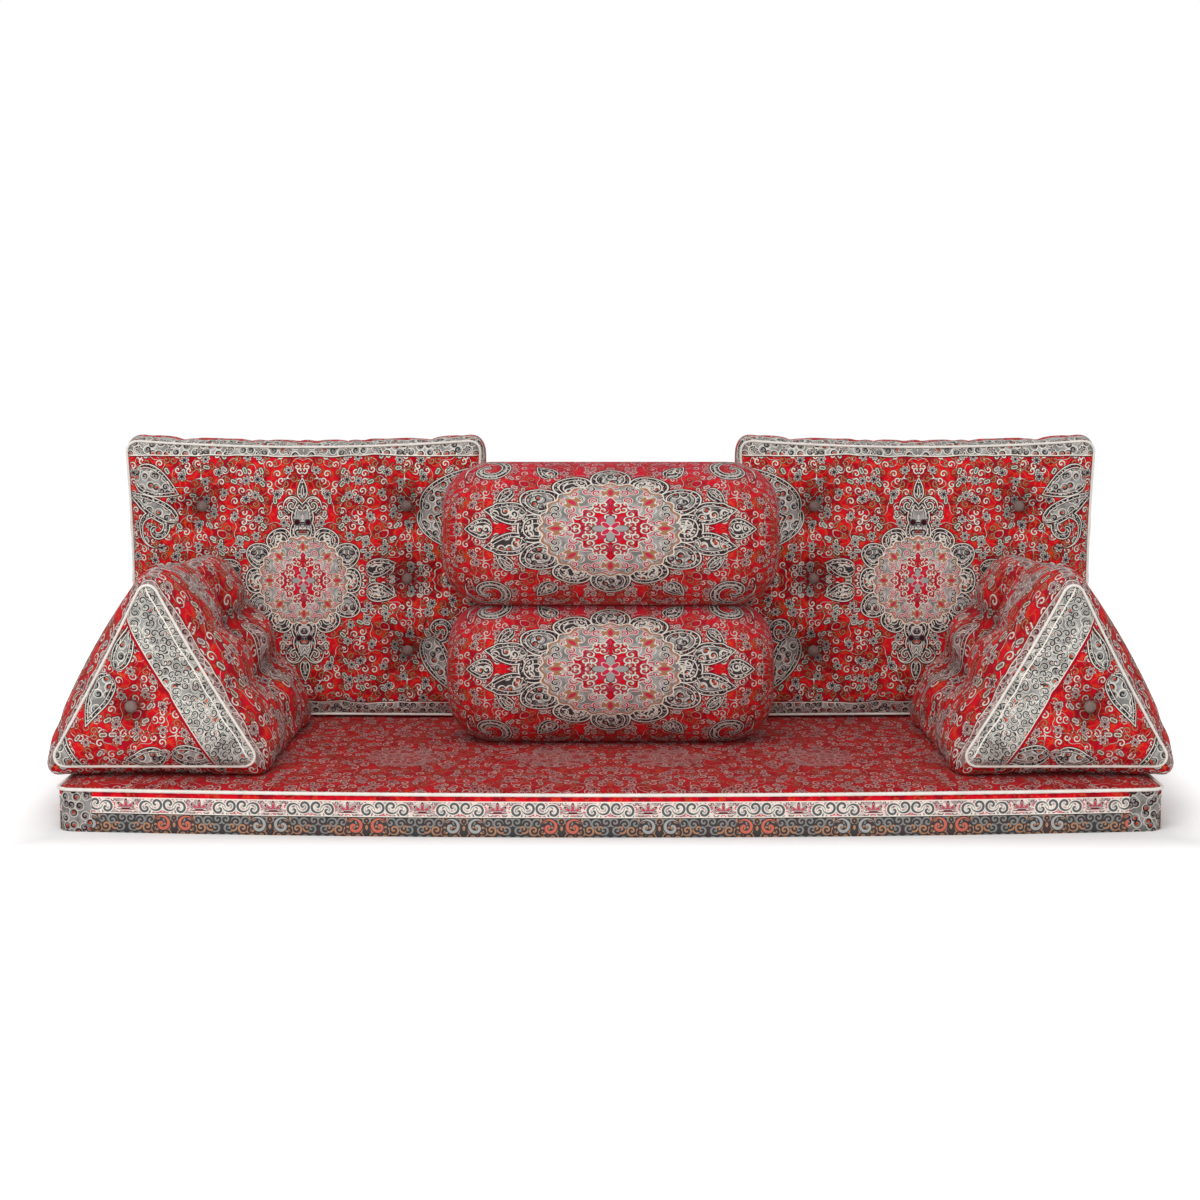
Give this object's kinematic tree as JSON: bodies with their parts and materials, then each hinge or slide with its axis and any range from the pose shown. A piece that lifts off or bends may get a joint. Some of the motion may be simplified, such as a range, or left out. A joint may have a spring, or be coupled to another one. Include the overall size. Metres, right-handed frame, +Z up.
{
  "type": "majlis floor sofa",
  "caption": "Low floor sofa: a long thin mattress with tufted upright back cushions, wedge-shaped arm cushions and stacked round bolsters, all in red patterned cloth.",
  "frame": {"origin": "middle of the mattress's flat underside, where it rests on the floor", "axes": "+X along the sofa to the viewer's right, +Y to the back, +Z up; the sofa faces -Y"},
  "size_m": [1.9674, 0.8486, 0.6308],
  "materials": {
    "seat_cloth": "woven red paisley cloth, grey medallions",
    "back_cloth": "woven red paisley cloth, grey medallions",
    "arm_cloth": "woven red paisley cloth, grey borders",
    "bolster_cloth": "woven red paisley cloth, gathered ends",
    "band_cloth": "woven grey and red border cloth",
    "under_cloth": "plain lining cloth",
    "piping": "cream corded piping",
    "filling": "loose fibre filling",
    "foam": "open-cell foam",
    "button_cloth": "cloth-covered button",
    "twine": "waxed twine",
    "zip_tape": "woven zip tape",
    "zip_teeth": "moulded teeth",
    "zip_metal": "satin"
  },
  "bodies": {
    "mattress": {"mattress_top_panel": "seat_cloth", "mattress_boxing": "band_cloth", "mattress_bottom_panel": "under_cloth", "mattress_top_piping": "piping", "mattress_foam_slab": "foam", "mattress_wadding": "filling", "mattress_zip_tapes": "zip_tape", "mattress_zip_teeth": "zip_teeth"},
    "left_back": {"left_back_front_panel": "back_cloth", "left_back_rear_panel": "under_cloth", "left_back_boxing": "back_cloth", "left_back_front_piping": "piping", "left_back_rear_piping": "piping", "left_back_filling": "filling", "left_back_tuft_buttons": "button_cloth", "left_back_tuft_twines": "twine"},
    "right_back": {"right_back_front_panel": "back_cloth", "right_back_rear_panel": "under_cloth", "right_back_boxing": "back_cloth", "right_back_front_piping": "piping", "right_back_rear_piping": "piping", "right_back_filling": "filling", "right_back_tuft_buttons": "button_cloth", "right_back_tuft_twines": "twine"},
    "left_arm": {"left_arm_front_panel": "arm_cloth", "left_arm_rear_panel": "arm_cloth", "left_arm_wrap_panel": "arm_cloth", "left_arm_base_panel": "under_cloth", "left_arm_front_piping": "piping", "left_arm_rear_piping": "piping", "left_arm_filling": "filling", "left_arm_tuft_buttons": "button_cloth", "left_arm_tuft_twines": "twine"},
    "right_arm": {"right_arm_front_panel": "arm_cloth", "right_arm_rear_panel": "arm_cloth", "right_arm_wrap_panel": "arm_cloth", "right_arm_base_panel": "under_cloth", "right_arm_front_piping": "piping", "right_arm_rear_piping": "piping", "right_arm_filling": "filling", "right_arm_tuft_buttons": "button_cloth", "right_arm_tuft_twines": "twine"},
    "lower_bolster": {"lower_bolster_cover": "bolster_cloth", "lower_bolster_filling": "filling", "lower_bolster_end_buttons": "button_cloth", "lower_bolster_gather_cords": "twine"},
    "upper_bolster": {"upper_bolster_cover": "bolster_cloth", "upper_bolster_filling": "filling", "upper_bolster_end_buttons": "button_cloth", "upper_bolster_gather_cords": "twine"},
    "zip_slider": {"mattress_zip_slider": "zip_metal"},
    "zip_pull": {"mattress_zip_pull": "zip_metal"}
  },
  "joints": [
    {"name": "left_back_lift", "type": "slide", "parent": "mattress", "child": "left_back", "axis": [0, 0, 1], "range_m": [0, 0.56]},
    {"name": "right_back_lift", "type": "slide", "parent": "mattress", "child": "right_back", "axis": [0, 0, 1], "range_m": [0, 0.56]},
    {"name": "left_arm_lift", "type": "slide", "parent": "mattress", "child": "left_arm", "axis": [0, 0, 1], "range_m": [0, 0.36]},
    {"name": "right_arm_lift", "type": "slide", "parent": "mattress", "child": "right_arm", "axis": [0, 0, 1], "range_m": [0, 0.36]},
    {"name": "lower_bolster_lift", "type": "slide", "parent": "mattress", "child": "lower_bolster", "axis": [0, 0, 1], "range_m": [0, 0.56]},
    {"name": "upper_bolster_lift", "type": "slide", "parent": "lower_bolster", "child": "upper_bolster", "axis": [0, 0, 1], "range_m": [0, 0.3]},
    {"name": "zip_run", "type": "slide", "parent": "mattress", "child": "zip_slider", "axis": [-1, 0, 0], "range_m": [0, 1.45]},
    {"name": "zip_pull_flip", "type": "hinge", "parent": "zip_slider", "child": "zip_pull", "pos_m": [0.735, 0.397, 0.0375], "axis": [0, 0, -1], "range_deg": [0, 180]}
  ]
}
